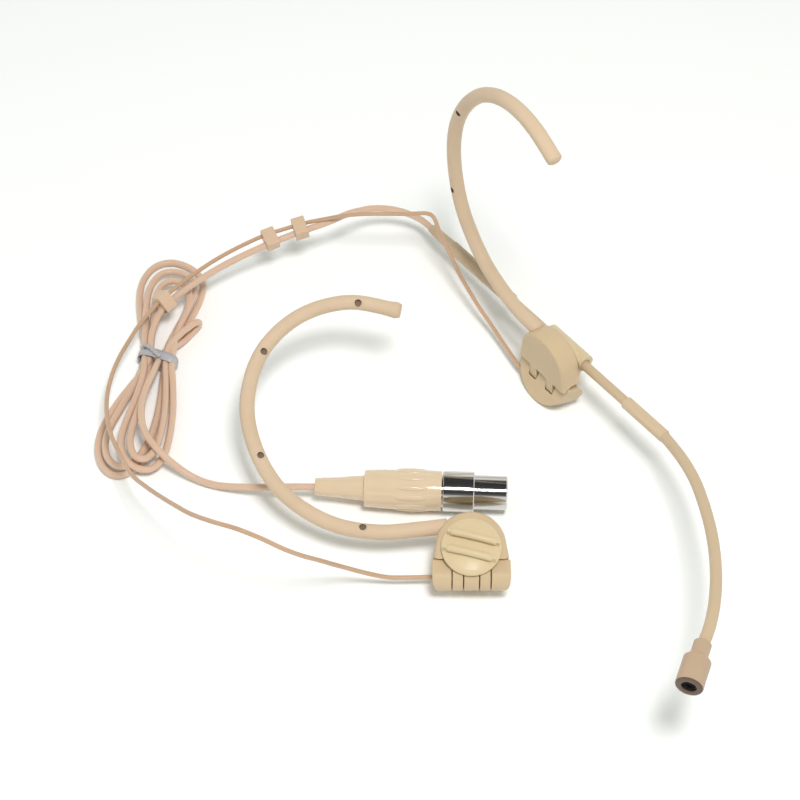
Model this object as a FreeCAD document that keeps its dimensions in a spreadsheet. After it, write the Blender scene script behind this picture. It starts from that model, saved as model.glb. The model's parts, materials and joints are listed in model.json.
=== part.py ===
"""Double ear hook headset microphone, lying folded open on a table.

Millimetres, +Z up, the table at Z = 0, the origin at the centre of the footprint of the
headset.  Two hinged ear pods sit on the ends of a sprung neck wire.  The far pod carries
a tilting holder in which the microphone boom turns and slides.  A thin cable leaves the
boom, follows the neck wire through three clips, is wound into a tied hank and ends in a
locking plug.
"""

import math
import os

import FreeCAD
import Part
import Sketcher
from FreeCAD import Matrix, Placement, Rotation, Vector

doc = FreeCAD.newDocument("headset_microphone")

DIMENSIONS = [
    ("wire_radius", 0.6, "neck wire"),
    ("pin_radius", 0.6, "hinge pins"),
    ("cable_radius", 1.0, "microphone cable"),
    ("pod_half_width", 10.3, "half the width of a pod at its hinge"),
    ("pod_thickness", 7.0, "pod and flap, inner face to outer face"),
    ("dome_radius", 9.4, "round top of a pod"),
    ("dome_centre", 8.4, "height of the dome centre above the hinge axis"),
    ("pod_base", 3.7, "height of the lower edge of the dome above the hinge axis"),
    ("knuckle_radius", 3.5, "hinge knuckles"),
    ("flap_reach", 10.4, "radius of the half round flap"),
    ("flap_edge", 3.4, "straight edge of a flap above the hinge axis"),
    ("flap_swing_radius", 5.15, "hollow in the pod for the square corner of the flap"),
    ("tongue_inner", 2.25, "inner side of each pod tongue from the middle"),
    ("tongue_width", 2.75, "width of each pod tongue"),
    ("flap_gap", 0.25, "side gap between a tongue and the flap"),
    ("hinge_clearance", 0.05, "radial running fit of the pods on their pins"),
    ("outer_rounding", 2.2, "rim of a pod on its outer face"),
    ("inner_rounding", 0.9, "rim of a pod on its inner face"),
    ("disc_height", 7.0, "disc axis above the hinge axis"),
    ("disc_radius", 8.0, "turning disc on the outer face"),
    ("disc_lift", 3.8, "underside of the disc above the middle of the pod"),
    ("stem_radius", 1.5, "stem of the disc in its pod"),
    ("fit_clearance", 0.05, "radial clearance of every turning or sliding fit"),
    ("hook_radius", 2.05, "soft ear hook"),
    ("core_radius", 0.6, "spring wire inside an ear hook"),
    ("boom_axis_rise", 1.1, "boom axis above the disc axis"),
    ("boom_axis_lift", 5.8, "boom axis above the middle of the pod"),
    ("sleeve_radius", 2.6, "outside of the boom sleeve"),
    ("sleeve_offset", 0.4, "sleeve outside its bore, both upward and outward"),
    ("sleeve_bore_radius", 1.75, "bore of the boom sleeve"),
    ("sleeve_length", 16.2, "length of the boom sleeve"),
    ("rod_radius", 1.4, "straight rear part of the boom"),
    ("arm_radius", 1.55, "curved front part of the boom"),
    ("ferrule_radius", 1.85, "crimped ferrule between rod and arm"),
    ("ferrule_length", 16.0, "length of the ferrule"),
    ("relief_radius", 2.0, "thick part of the rear strain relief"),
    ("capsule_radius", 3.5, "microphone capsule"),
    ("capsule_length", 8.4, "length of the capsule"),
    ("collar_radius", 2.25, "collar behind the capsule"),
    ("clip_length", 4.0, "cable clip along the wire"),
    ("clip_depth", 5.8, "cable clip across wire and cable"),
    ("clip_height", 4.4, "cable clip, top to bottom"),
    ("hank_bottom", 0.8, "underside of the wound cable at the tie"),
    ("hank_height", 4.8, "thickness of the wound cable"),
    ("tie_width", 3.6, "width of the cable tie"),
    ("tie_thickness", 0.8, "thickness of the cable tie"),
    ("plug_axis_height", 5.65, "plug axis above the table"),
    ("plug_radius", 5.6, "widest part of the plug"),
    ("shell_radius", 4.725, "metal front of the plug"),
    ("shell_bore_radius", 3.95, "socket in the front of the plug"),
    ("insert_radius", 3.5, "insulating insert inside the plug"),
]

sheet = doc.addObject("Spreadsheet::Sheet", "Dimensions")
for row, (alias, value, meaning) in enumerate(DIMENSIONS, start=1):
    sheet.set("A%d" % row, meaning)
    sheet.set("B%d" % row, "%g" % value)
    sheet.setAlias("B%d" % row, alias)
doc.recompute()


def dim(alias):
    """Value of one driving dimension."""
    return float(sheet.get(alias))


# ---------------------------------------------------------------- places in the headset

def axes_placement(origin, x_axis, y_axis, z_axis):
    """Placement whose local axes are the three given unit vectors."""
    return Placement(Matrix(
        x_axis.x, y_axis.x, z_axis.x, origin.x,
        x_axis.y, y_axis.y, z_axis.y, origin.y,
        x_axis.z, y_axis.z, z_axis.z, origin.z,
        0, 0, 0, 1))


def along(origin, direction):
    """Placement whose local Z axis runs along a direction."""
    return Placement(origin, Rotation(Vector(0, 0, 1), direction))


class Pod:
    """Directions of one ear pod: forward, up the dome, out through the outer face."""

    def __init__(self, hinge, forward, up, out, mirrored):
        self.hinge = hinge
        self.forward = forward
        self.up = up
        self.out = out
        self.x_axis = forward * -1 if mirrored else forward

    def point(self, forward, up, out=0.0):
        return self.hinge + self.forward * forward + self.up * up + self.out * out

    def placement(self, forward=0.0, up=0.0, out=0.0):
        """Local X along the hinge, local Y up the dome, local Z outward."""
        return axes_placement(self.point(forward, up, out), self.x_axis, self.up, self.out)

    def flap_placement(self, fold_deg):
        """The same frame turned about the hinge so that the flap folds inward."""
        fold = math.radians(fold_deg)
        up = self.up * math.cos(fold) + self.out * math.sin(fold)
        out = self.out * math.cos(fold) - self.up * math.sin(fold)
        return axes_placement(self.hinge, self.x_axis, up, out)


NEAR_LEAN = math.radians(15)
near = Pod(
    Vector(19.8, -38.4, 7.0),
    Vector(1, 0, 0),
    Vector(0, math.cos(NEAR_LEAN), math.sin(NEAR_LEAN)),
    Vector(0, -math.sin(NEAR_LEAN), math.cos(NEAR_LEAN)),
    mirrored=False)
NEAR_FOLD = 75.0

FAR_YAW = math.radians(54)
FAR_PITCH = math.radians(4)
far = Pod(
    Vector(44.05, 30.35, 5.51),
    Vector(math.cos(FAR_YAW) * math.cos(FAR_PITCH),
           -math.sin(FAR_YAW) * math.cos(FAR_PITCH), math.sin(FAR_PITCH)),
    Vector(-math.sin(FAR_PITCH) * math.cos(FAR_YAW),
           math.sin(FAR_PITCH) * math.sin(FAR_YAW), math.cos(FAR_PITCH)),
    Vector(math.sin(FAR_YAW), math.cos(FAR_YAW), 0),
    mirrored=True)
FAR_FOLD = 25.0

PIN_REACH = 9.4
WIRE_END = 5.6


def wire_seat(pod, fold_deg, forward):
    """Point of the straight piece of neck wire that is held in a flap."""
    side = 1 if pod.x_axis.dot(pod.forward) > 0 else -1
    return pod.flap_placement(fold_deg).multVec(Vector(side * forward, -3.2, -2.4))


NECK_WIRE = [
    wire_seat(near, NEAR_FOLD, -WIRE_END), Vector(0.7, -36.4, 3.8),
    Vector(-6.4, -36.0, 5.3), Vector(-13.6, -37.5, 10.2), Vector(-20.2, -39.8, 17.6),
    Vector(-28.9, -43.3, 27.6), Vector(-40.4, -41.3, 34.6), Vector(-53.2, -33.5, 29.2),
    Vector(-62.6, -23.5, 22.0), Vector(-72.6, -9.7, 14.2), Vector(-79.3, 4.0, 10.2),
    Vector(-82.2, 18.0, 9.0), Vector(-81.2, 32.0, 8.5), Vector(-76.2, 44.5, 8.8),
    Vector(-66.6, 58.9, 10.3), Vector(-58.3, 66.5, 11.3), Vector(-48.9, 73.4, 12.5),
    Vector(-39.0, 78.7, 13.6), Vector(-27.2, 82.3, 15.1), Vector(-14.4, 82.7, 18.4),
    Vector(-2.3, 81.0, 20.2), Vector(6.2, 80.7, 20.6), Vector(11.6, 79.9, 20.0),
    Vector(12.7, 76.1, 17.4), Vector(16.4, 69.6, 12.2), Vector(19.6, 62.3, 8.8),
    Vector(24.9, 54.0, 6.3), Vector(30.0, 46.2, 3.9), wire_seat(far, FAR_FOLD, -16.0),
    wire_seat(far, FAR_FOLD, -WIRE_END),
]

NEAR_HOOK = [near.point(f, u) for f, u in (
    (-6.2, 14.3), (-13.5, 13.4), (-25.0, 12.6), (-37.9, 15.3), (-50.3, 23.8),
    (-57.7, 35.7), (-60.7, 49.8), (-57.0, 65.4), (-47.0, 76.2), (-33.5, 80.6),
    (-19.5, 78.0))]
NEAR_HOLES = [near.point(f, u, 2.0) for f, u in (
    (-56.6, 65.2), (-55.5, 32.2), (-28.5, 13.2), (-30.5, 80.2))]

FAR_HOOK = [far.point(f, u, o) for f, u, o in (
    (-5.7, 14.7, 0.1), (-16.6, 14.7, 0.7), (-27.0, 15.2, 2.2), (-35.0, 17.2, 3.4),
    (-42.2, 21.9, 4.4), (-47.8, 28.2, 5.2), (-50.9, 35.8, 5.7), (-52.3, 43.8, 6.0),
    (-51.9, 51.6, 6.0), (-49.9, 59.2, 5.8), (-46.2, 66.5, 5.3), (-41.4, 73.1, 4.7),
    (-34.9, 79.5, 3.8), (-26.5, 84.6, 2.7), (-17.0, 87.2, 1.4), (-8.4, 86.9, 0.2),
    (-0.2, 84.3, -0.9))]
FAR_HOLES = [far.point(f, u, o - 1.9) for f, u, o in (
    (-46.4, 66.0, 5.3), (-14.2, 86.6, 1.0), (-50.2, 34.0, 5.6))]

BOOM_TILT = 1.0
BOOM_REAR = -64.5
RELIEF_STEP = -53.8
RELIEF_FRONT = -25.0
FERRULE_START = 26.0
ROD_FRONT = 34.0

holder_frame = far.placement(up=dim("disc_height"))
holder_frame.Rotation = holder_frame.Rotation * Rotation(Vector(0, 0, 1), -BOOM_TILT)
boom_axis = holder_frame.Rotation.multVec(Vector(-1, 0, 0))


def boom_point(station):
    """Point on the axis along which the boom slides."""
    return holder_frame.multVec(Vector(-station, dim("boom_axis_rise"), dim("boom_axis_lift")))


ARM = [boom_point(ROD_FRONT), boom_point(42.5), Vector(76.9, -10.0, 20.5),
       Vector(79.1, -18.3, 22.5), Vector(80.3, -27.6, 24.5), Vector(80.9, -36.4, 26.4),
       Vector(80.8, -45.3, 28.3), Vector(80.0, -54.1, 30.2), Vector(78.5, -62.6, 31.9),
       Vector(76.3, -70.2, 33.3), Vector(73.7, -76.0, 33.9)]

LEAD = [boom_point(BOOM_REAR - 0.4), boom_point(BOOM_REAR - 2.6), Vector(7.5, 90.0, 7.8),
        Vector(5.6, 91.5, 8.05), Vector(3.5, 92.6, 8.4), Vector(1.2, 93.3, 9.0),
        Vector(-1.1, 93.5, 9.6), Vector(-3.4, 93.4, 10.3), Vector(-5.6, 92.9, 11.1),
        Vector(-7.8, 92.0, 11.8), Vector(-10.4, 90.2, 12.8), Vector(-14.6, 86.8, 14.0),
        Vector(-20.9, 82.0, 14.9), Vector(-27.6, 79.1, 14.4), Vector(-38.6, 75.2, 12.7),
        Vector(-49.0, 70.0, 11.3), Vector(-58.5, 63.5, 10.0), Vector(-67.2, 56.0, 8.5),
        Vector(-70.4, 49.9, 6.7), Vector(-71.0, 44.5, 2.0)]
PLUG_START = Vector(-22.3, -8.0, dim("plug_axis_height"))
PLUG_DIRECTION = Vector(52.6, -2.3, 0).normalize()
TAIL = [Vector(-69.6, 25.4, 4.6), Vector(-71.9, 14.3, 4.6), Vector(-67.0, 3.5, 4.2),
        Vector(-57.0, -3.8, 2.0), Vector(-46.5, -5.5, 1.5), Vector(-35.6, -6.7, 3.0),
        PLUG_START - PLUG_DIRECTION * 3.7, PLUG_START + PLUG_DIRECTION * 6.0]

CLIPS = [
    ("cable_clip_rear", Vector(-29.3, 81.5, 14.75), Vector(-28.4, 79.1, 14.2),
     Vector(11.8, 3.6, 1.5)),
    ("cable_clip_middle", Vector(-37.9, 78.5, 13.8), Vector(-37.4, 75.5, 12.9),
     Vector(10.6, 4.7, 1.2)),
    ("cable_clip_side", Vector(-68.9, 55.4, 10.0), Vector(-67.0, 56.1, 8.8),
     Vector(8.9, 11.0, 1.5)),
]


# ---------------------------------------------------------------- tools for the bodies

def new_body(name, placement):
    body = doc.addObject("PartDesign::Body", name)
    body.Label = name
    body.Placement = placement
    return body


def new_sketch(body, plane, name, lift=0.0):
    """Sketch on one of the body's own origin planes, lifted along its normal."""
    sketch = body.newObject("Sketcher::SketchObject", name)
    support = [item for item in body.Origin.OriginFeatures if item.Role == plane][0]
    sketch.AttachmentSupport = [(support, "")]
    sketch.MapMode = "FlatFace"
    sketch.AttachmentOffset = Placement(Vector(0, 0, lift), Rotation())
    return sketch


def draw_loop(sketch, items):
    """Closed loop of straight sides and arcs; an arc is (centre, radius, from, to)."""
    first = sketch.GeometryCount
    ends = []
    for item in items:
        if len(item) == 4:
            centre, radius, start, stop = item
            circle = Part.Circle(Vector(centre[0], centre[1], 0), Vector(0, 0, 1), radius)
            low, high = min(start, stop), max(start, stop)
            arc = Part.ArcOfCircle(circle, math.radians(low), math.radians(high))
            sketch.addGeometry(arc, False)
            ends.append((1, 2) if start < stop else (2, 1))
        else:
            begin, finish = item
            line = Part.LineSegment(Vector(begin[0], begin[1], 0),
                                    Vector(finish[0], finish[1], 0))
            sketch.addGeometry(line, False)
            ends.append((1, 2))
    count = len(items)
    for index in range(count):
        following = (index + 1) % count
        sketch.addConstraint(Sketcher.Constraint(
            "Coincident", first + index, ends[index][1],
            first + following, ends[following][0]))


def polygon(points):
    """Sides of a closed polygon, ready for draw_loop."""
    return [(begin, finish) for begin, finish in zip(points, points[1:] + points[:1])]


def draw_circle(sketch, centre, radius, expression=None):
    """Circle held by its radius, which may follow the sheet."""
    index = sketch.addGeometry(
        Part.Circle(Vector(centre[0], centre[1], 0), Vector(0, 0, 1), radius), False)
    held = sketch.addConstraint(Sketcher.Constraint("Radius", index, radius))
    if expression:
        sketch.setExpression("Constraints[%d]" % held, expression)


def pad(body, sketch, name, length, expression=None, midplane=True):
    feature = body.newObject("PartDesign::Pad", name)
    feature.Profile = sketch
    feature.Length = length
    feature.Midplane = midplane
    if expression:
        feature.setExpression("Length", expression)
    doc.recompute()
    return feature


def pocket(body, sketch, name, length, midplane=True, reverse=False, expression=None):
    """Cut a sketch out of a body and make sure that something was cut."""
    before = body.Shape.Volume
    feature = body.newObject("PartDesign::Pocket", name)
    feature.Profile = sketch
    feature.Length = length
    feature.Midplane = midplane
    feature.Reversed = reverse
    if expression:
        feature.setExpression("Length", expression)
    doc.recompute()
    if body.Shape.Volume > before - 1e-3:
        raise RuntimeError("%s cuts nothing" % name)
    return feature


def turn_profile(body, name, profile):
    """Revolve a closed profile of (radius, height) points about the body's Z axis."""
    sketch = new_sketch(body, "XZ_Plane", name + "_profile")
    draw_loop(sketch, polygon(profile))
    feature = body.newObject("PartDesign::Revolution", name)
    feature.Profile = sketch
    feature.ReferenceAxis = (sketch, ["V_Axis"])
    feature.Angle = 360
    doc.recompute()
    return feature


def turned(name, profile, placement):
    """One body turned from a single profile."""
    body = new_body(name, placement)
    turn_profile(body, name + "_turning", profile)
    return body


def tube_profile(bore, outside, start, end, edge=0.0):
    """Plain tube, or rod when the bore is zero, with small edge chamfers outside."""
    if edge == 0.0:
        return [(bore, start), (outside, start), (outside, end), (bore, end)]
    return [(bore, start), (outside - edge, start), (outside, start + edge),
            (outside, end - edge), (outside - edge, end), (bore, end)]


def shape_node(name, shape):
    """Node made from a shape, for the bent tubes that no sketch feature covers."""
    node = doc.addObject("Part::Feature", name)
    node.Label = name
    node.Shape = shape
    return node


def route(points, name, section_radius, limit):
    """Straight runs joined by tangent arcs; prints the tightest bend."""
    edges = []
    start = points[0]
    radii = []
    for before, corner, after in zip(points, points[1:], points[2:]):
        run_in = corner - before
        run_out = after - corner
        turn = run_in.getAngle(run_out)
        reach = 0.45 * min(run_in.Length, run_out.Length)
        way_in = Vector(run_in).normalize()
        way_out = Vector(run_out).normalize()
        radius = reach / math.tan(turn / 2)
        radii.append(radius)
        inward = (way_out - way_in).normalize()
        middle = corner + inward * (radius / math.cos(turn / 2) - radius)
        arc_start = corner - way_in * reach
        arc_end = corner + way_out * reach
        edges.append(Part.LineSegment(start, arc_start).toShape())
        edges.append(Part.Arc(arc_start, middle, arc_end).toShape())
        start = arc_end
    edges.append(Part.LineSegment(start, points[-1]).toShape())
    path = Part.Wire(edges)
    print("%s: length %.1f, tightest bend %.1f, wanted %.1f" % (
        name, path.Length, min(radii), limit * 2 * section_radius))
    return path


def tube_along(points, radius, name, limit=1.0):
    """Round bar swept along a route."""
    path = route(points, name, radius, limit)
    direction = (points[1] - points[0]).normalize()
    circle = Part.makeCircle(radius, points[0], direction)
    solid = path.makePipe(Part.Face(Part.Wire([circle])))
    if solid.ShapeType != "Solid":
        solid = Part.Solid(Part.Shell(solid.Faces))
    expected = math.pi * radius ** 2 * path.Length
    if abs(solid.Volume - expected) > 0.02 * expected:
        raise RuntimeError("%s: volume %.1f instead of %.1f" % (name, solid.Volume, expected))
    return solid


# ---------------------------------------------------------------- the neck wire

wire_shape = tube_along(NECK_WIRE, dim("wire_radius"), "headband_wire")
headband_wire = shape_node("headband_wire", wire_shape)


# ---------------------------------------------------------------- pods and flaps

def make_hook(name, points, holes, hole_axis):
    """Soft ear hook with a sprung core and small moulding holes; returns both nodes."""
    core_shape = tube_along(points, dim("core_radius"), name + "_core")
    hook_shape = tube_along(points, dim("hook_radius"), name)
    hook_shape = hook_shape.cut(core_shape)
    for hole in holes:
        drill = Part.makeCylinder(0.75, 3.0, hole - hole_axis * 0.9, hole_axis)
        hook_shape = hook_shape.cut(drill)
    return shape_node(name, hook_shape), shape_node(name + "_core", core_shape)


def round_rim(body, feature, name, level, alias):
    """Round the curved rim that lies at one height above the middle of a pod."""
    rims = []
    for index, edge in enumerate(feature.Shape.Edges, start=1):
        box = edge.BoundBox
        flat = box.ZLength < 1e-4 and abs(edge.CenterOfMass.z - level) < 1e-4
        if flat and box.YMax > dim("pod_base") + 0.1:
            rims.append("Edge%d" % index)
    rounding = body.newObject("PartDesign::Fillet", name)
    rounding.Base = (feature, rims)
    rounding.Radius = dim(alias)
    rounding.setExpression("Radius", "Dimensions." + alias)
    doc.recompute()
    return rounding


def make_housing(prefix, pod, hook_points):
    """Domed pod with two hinge tongues, a stem hole for the disc and a hook socket."""
    name = prefix + "_housing"
    half = dim("pod_half_width")
    base = dim("pod_base")
    crown = dim("dome_centre")
    dome = dim("dome_radius")
    reach = math.hypot(half, crown - base)
    lean = math.degrees(math.acos(dome / reach) - math.atan2(crown - base, half))
    touch = (dome * math.cos(math.radians(lean)), crown + dome * math.sin(math.radians(lean)))

    body = new_body(name + "_solid", pod.placement())
    outline = new_sketch(body, "XY_Plane", name + "_outline")
    draw_loop(outline, [
        ((-half, base), (half, base)),
        ((half, base), touch),
        ((0, crown), dome, lean, 180 - lean),
        ((-touch[0], touch[1]), (-half, base)),
    ])
    dome_pad = pad(body, outline, name + "_dome", dim("pod_thickness"),
                   "Dimensions.pod_thickness")
    face = dim("pod_thickness") / 2
    rounded = round_rim(body, dome_pad, name + "_outer_rounding", face, "outer_rounding")
    round_rim(body, rounded, name + "_inner_rounding", -face, "inner_rounding")

    knuckle = dim("knuckle_radius")
    inner = dim("tongue_inner")
    width = dim("tongue_width")
    hollow = new_sketch(body, "YZ_Plane", name + "_flap_hollow")
    draw_circle(hollow, (0, 0), dim("flap_swing_radius"), "Dimensions.flap_swing_radius")
    pocket(body, hollow, name + "_flap_room", 2 * half + 2)
    for side in (-1, 1):
        start = inner if side > 0 else -inner - width
        tongue = new_sketch(body, "YZ_Plane", "%s_tongue_%d" % (name, side + 2), start)
        draw_loop(tongue, [
            ((0, -knuckle), (base + 1.9, -knuckle)),
            ((base + 1.9, -knuckle), (base + 1.9, knuckle)),
            ((base + 1.9, knuckle), (0, knuckle)),
            ((0, 0), knuckle, 90, 270),
        ])
        pad(body, tongue, "%s_tongue_pad_%d" % (name, side + 2), width,
            "Dimensions.tongue_width", midplane=False)
    bore = new_sketch(body, "YZ_Plane", name + "_pin_hole")
    draw_circle(bore, (0, 0), dim("pin_radius") + dim("hinge_clearance"),
                "Dimensions.pin_radius + Dimensions.hinge_clearance")
    pocket(body, bore, name + "_pin_bore", 2 * half + 2)

    stem = dim("stem_radius") + dim("fit_clearance")
    hole = new_sketch(body, "XY_Plane", name + "_stem_hole", face)
    draw_circle(hole, (0, dim("disc_height")), stem,
                "Dimensions.stem_radius + Dimensions.fit_clearance")
    pocket(body, hole, name + "_stem_bore", 4.4, midplane=False)
    groove = new_sketch(body, "XY_Plane", name + "_ring_groove", 2.0)
    draw_circle(groove, (0, dim("disc_height")), 1.9)
    pocket(body, groove, name + "_ring_room", 0.5, midplane=False)

    socket = shape_node(name + "_socket", tube_along(hook_points[:3], dim("hook_radius"),
                                                     name + "_socket"))
    housing = doc.addObject("Part::Cut", name)
    housing.Label = name
    housing.Base = body
    housing.Tool = socket
    doc.recompute()
    return housing


def make_flap(prefix, pod, fold_deg, relief_depth):
    """Half round flap with three knuckles that holds the hinge pin and the neck wire."""
    name = prefix + "_flap"
    knuckle = dim("knuckle_radius")
    reach = dim("flap_reach")
    edge_y = dim("flap_edge")
    low = reach - edge_y
    tip = 1.5
    face = dim("pod_thickness") / 2
    body = new_body(name, pod.flap_placement(fold_deg))
    outline = new_sketch(body, "XY_Plane", name + "_outline")
    draw_loop(outline, [
        ((0, edge_y), reach, 180, 360),
        ((reach, edge_y), (-reach, edge_y)),
    ])
    pad(body, outline, name + "_plate", 2 * face, "Dimensions.pod_thickness")

    tip_z = -face + tip
    span = math.hypot(low, tip_z)
    shoulder = math.sqrt(knuckle ** 2 - edge_y ** 2)
    top = math.degrees(math.atan2(shoulder, edge_y))
    touch_angle = math.degrees(math.atan2(tip_z, -low) - math.acos(knuckle / span)) + 360
    touch = (knuckle * math.cos(math.radians(touch_angle)),
             knuckle * math.sin(math.radians(touch_angle)))
    fall = (touch[1] - tip_z) / (touch[0] + low)
    beyond = (-low - 1, tip_z - fall)
    wedge = new_sketch(body, "YZ_Plane", name + "_wedge")
    draw_loop(wedge, [
        ((0, 0), knuckle, top, touch_angle),
        (touch, beyond),
        (beyond, (beyond[0], face + 1)),
        ((beyond[0], face + 1), (edge_y + 1, face + 1)),
        ((edge_y + 1, face + 1), (edge_y + 1, shoulder)),
        ((edge_y + 1, shoulder), (edge_y, shoulder)),
    ])
    pocket(body, wedge, name + "_wedge_cut", 2 * reach + 2)

    gap = dim("flap_gap")
    room = knuckle + 0.3
    for side in (-1, 1):
        start = dim("tongue_inner") - gap
        width = dim("tongue_width") + 2 * gap
        lift = start if side > 0 else -start - width
        relief = new_sketch(body, "YZ_Plane", "%s_relief_%d" % (name, side + 2), lift)
        edge = math.sqrt(room ** 2 - relief_depth ** 2)
        angle = math.degrees(math.atan2(-edge, -relief_depth)) + 360
        draw_loop(relief, [
            ((room + 1, -face - 1), (room + 1, room)),
            ((room + 1, room), (0, room)),
            ((0, 0), room, 90, angle),
            ((-relief_depth, -edge), (-relief_depth, -face - 1)),
            ((-relief_depth, -face - 1), (room + 1, -face - 1)),
        ])
        pocket(body, relief, "%s_relief_cut_%d" % (name, side + 2), width,
               midplane=False, reverse=True)
    rear = -reach if pod.x_axis.dot(pod.forward) > 0 else reach
    bore = new_sketch(body, "YZ_Plane", name + "_pin_hole", rear)
    draw_circle(bore, (0, 0), dim("pin_radius"), "Dimensions.pin_radius")
    pocket(body, bore, name + "_pin_bore", PIN_REACH + reach, midplane=False, reverse=rear < 0)
    seat = new_sketch(body, "YZ_Plane", name + "_wire_hole", rear)
    draw_circle(seat, (-3.2, -2.4), dim("wire_radius"), "Dimensions.wire_radius")
    pocket(body, seat, name + "_wire_bore", reach - WIRE_END, midplane=False, reverse=rear < 0)
    pin_start = pod.point(-PIN_REACH, 0)
    turned(prefix + "_hinge_pin", tube_profile(0, dim("pin_radius"), 0, 2 * PIN_REACH, 0.1),
           along(pin_start, pod.forward))
    return body


make_hook("near_ear_hook", NEAR_HOOK, NEAR_HOLES, near.out)
make_hook("far_ear_hook", FAR_HOOK, FAR_HOLES, far.out * -1)
make_housing("near", near, NEAR_HOOK)
make_housing("far", far, FAR_HOOK)
make_flap("near", near, NEAR_FOLD, 3.6)
make_flap("far", far, FAR_FOLD, 1.5)

for prefix, pod in (("near", near), ("far", far)):
    seat = pod.placement(up=dim("disc_height"))
    turned(prefix + "_retaining_ring", tube_profile(1.25, 1.9, 1.5, 2.0), seat)
    turned(prefix + "_friction_washer", tube_profile(1.6, 3.2, 3.5, 3.7), seat)


# ---------------------------------------------------------------- discs

def disc_profile():
    """Shallow dome with a grooved stem below it, as (radius, height) points."""
    stem = dim("stem_radius")
    rim = dim("disc_radius")
    lift = dim("disc_lift")
    neck = stem - 0.45
    crown = []
    for part in range(1, 9):
        radius = (rim - 0.35) * (1 - part / 8)
        crown.append((radius, lift + 1.1 + 0.9 * (1 - (radius / rim) ** 2)))
    return [(0, -0.6), (stem, -0.6), (stem, 1.4), (neck, 1.4), (neck, 2.1), (stem, 2.1),
            (stem, lift), (rim - 0.2, lift), (rim, lift + 0.2), (rim, lift + 0.8),
            (rim - 0.35, lift + 1.1)] + crown


near_disc = new_body("near_disc", Placement(
    near.point(0, dim("disc_height")),
    near.placement().Rotation * Rotation(Vector(0, 0, 1), -14)))
turn_profile(near_disc, "near_disc_turning", disc_profile())
for number, offset in enumerate((-2.3, 2.3), start=1):
    ridge = new_sketch(near_disc, "YZ_Plane", "near_disc_ridge_%d" % number)
    draw_loop(ridge, polygon([(offset - 0.85, 4.6), (offset + 0.85, 4.6),
                              (offset + 0.4, 6.9), (offset - 0.4, 6.9)]))
    pad(near_disc, ridge, "near_disc_ridge_pad_%d" % number, 14.2)

boom_holder = new_body("boom_holder", holder_frame)
turn_profile(boom_holder, "boom_holder_turning", disc_profile())
sleeve_y = dim("boom_axis_rise") + dim("sleeve_offset")
sleeve_z = dim("boom_axis_lift") + dim("sleeve_offset")
drop = sleeve_z - dim("disc_lift")
half_flat = math.sqrt(dim("sleeve_radius") ** 2 - drop ** 2)
flat_angle = math.degrees(math.atan2(-drop, half_flat))
sleeve = new_sketch(boom_holder, "YZ_Plane", "boom_holder_sleeve")
draw_loop(sleeve, [
    ((sleeve_y - half_flat, dim("disc_lift")), (sleeve_y + half_flat, dim("disc_lift"))),
    ((sleeve_y, sleeve_z), dim("sleeve_radius"), flat_angle, 180 - flat_angle),
])
pad(boom_holder, sleeve, "boom_holder_sleeve_pad", dim("sleeve_length"),
    "Dimensions.sleeve_length")
sleeve_bore = new_sketch(boom_holder, "YZ_Plane", "boom_holder_bore")
draw_circle(sleeve_bore, (dim("boom_axis_rise"), dim("boom_axis_lift")),
            dim("sleeve_bore_radius"), "Dimensions.sleeve_bore_radius")
pocket(boom_holder, sleeve_bore, "boom_holder_bore_cut", 20.0)


# ---------------------------------------------------------------- boom

boom_frame = along(boom_point(0), boom_axis)
bush_half = dim("sleeve_length") / 2
turned("boom_friction_bush",
       tube_profile(dim("rod_radius") + dim("fit_clearance"),
                    dim("sleeve_bore_radius") - dim("fit_clearance"),
                    -bush_half - 0.2, bush_half + 0.2, 0.1), boom_frame)

turned("boom_rod", tube_profile(0, dim("rod_radius"), -58.0, ROD_FRONT), boom_frame)
shape_node("boom_arm", tube_along(ARM, dim("arm_radius"), "boom_arm"))

thick = dim("relief_radius")
slim = dim("rod_radius")
turned("boom_strain_relief", [
    (slim, RELIEF_FRONT), (slim, -58.0), (dim("cable_radius") + 0.1, -58.0),
    (dim("cable_radius") + 0.1, BOOM_REAR), (1.35, BOOM_REAR), (1.55, BOOM_REAR + 3.0),
    (1.75, RELIEF_STEP - 0.5), (thick, RELIEF_STEP), (thick, RELIEF_FRONT - 0.3),
    (thick - 0.3, RELIEF_FRONT)], boom_frame)

ferrule_body = turned("boom_ferrule_blank",
                      tube_profile(0, dim("ferrule_radius"), 0, dim("ferrule_length"), 0.15),
                      along(boom_point(FERRULE_START), boom_axis))
boom_core = doc.addObject("Part::MultiFuse", "boom_core")
boom_core.Shapes = [doc.boom_rod, doc.boom_arm]
ferrule = doc.addObject("Part::Cut", "boom_ferrule")
ferrule.Label = "boom_ferrule"
ferrule.Base = ferrule_body
ferrule.Tool = boom_core

capsule_way = Vector(-6.0, -16.1, 1.0).normalize()
capsule_end = Vector(69.6, -87.0, 34.6)
capsule = dim("capsule_radius")
long = dim("capsule_length")
capsule_frame = along(capsule_end - capsule_way * long, capsule_way)
turned("capsule_collar_blank", tube_profile(0, dim("collar_radius"), -5.0, 0.6, 0.3),
       capsule_frame)
collar = doc.addObject("Part::Cut", "capsule_collar")
collar.Label = "capsule_collar"
collar.Base = doc.capsule_collar_blank
collar.Tool = doc.boom_arm
turned("capsule_housing", [
    (dim("collar_radius"), 0), (capsule - 0.5, 0), (capsule, 0.5), (capsule, long - 0.4),
    (capsule - 0.4, long), (2.3, long), (2.3, long - 1.0), (2.9, long - 1.0),
    (2.9, 1.2), (1.0, 1.2), (1.0, 0.6), (dim("collar_radius"), 0.6)], capsule_frame)
turned("capsule_element", tube_profile(0, 2.9, 1.2, long - 1.9, 0.2), capsule_frame)
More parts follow.
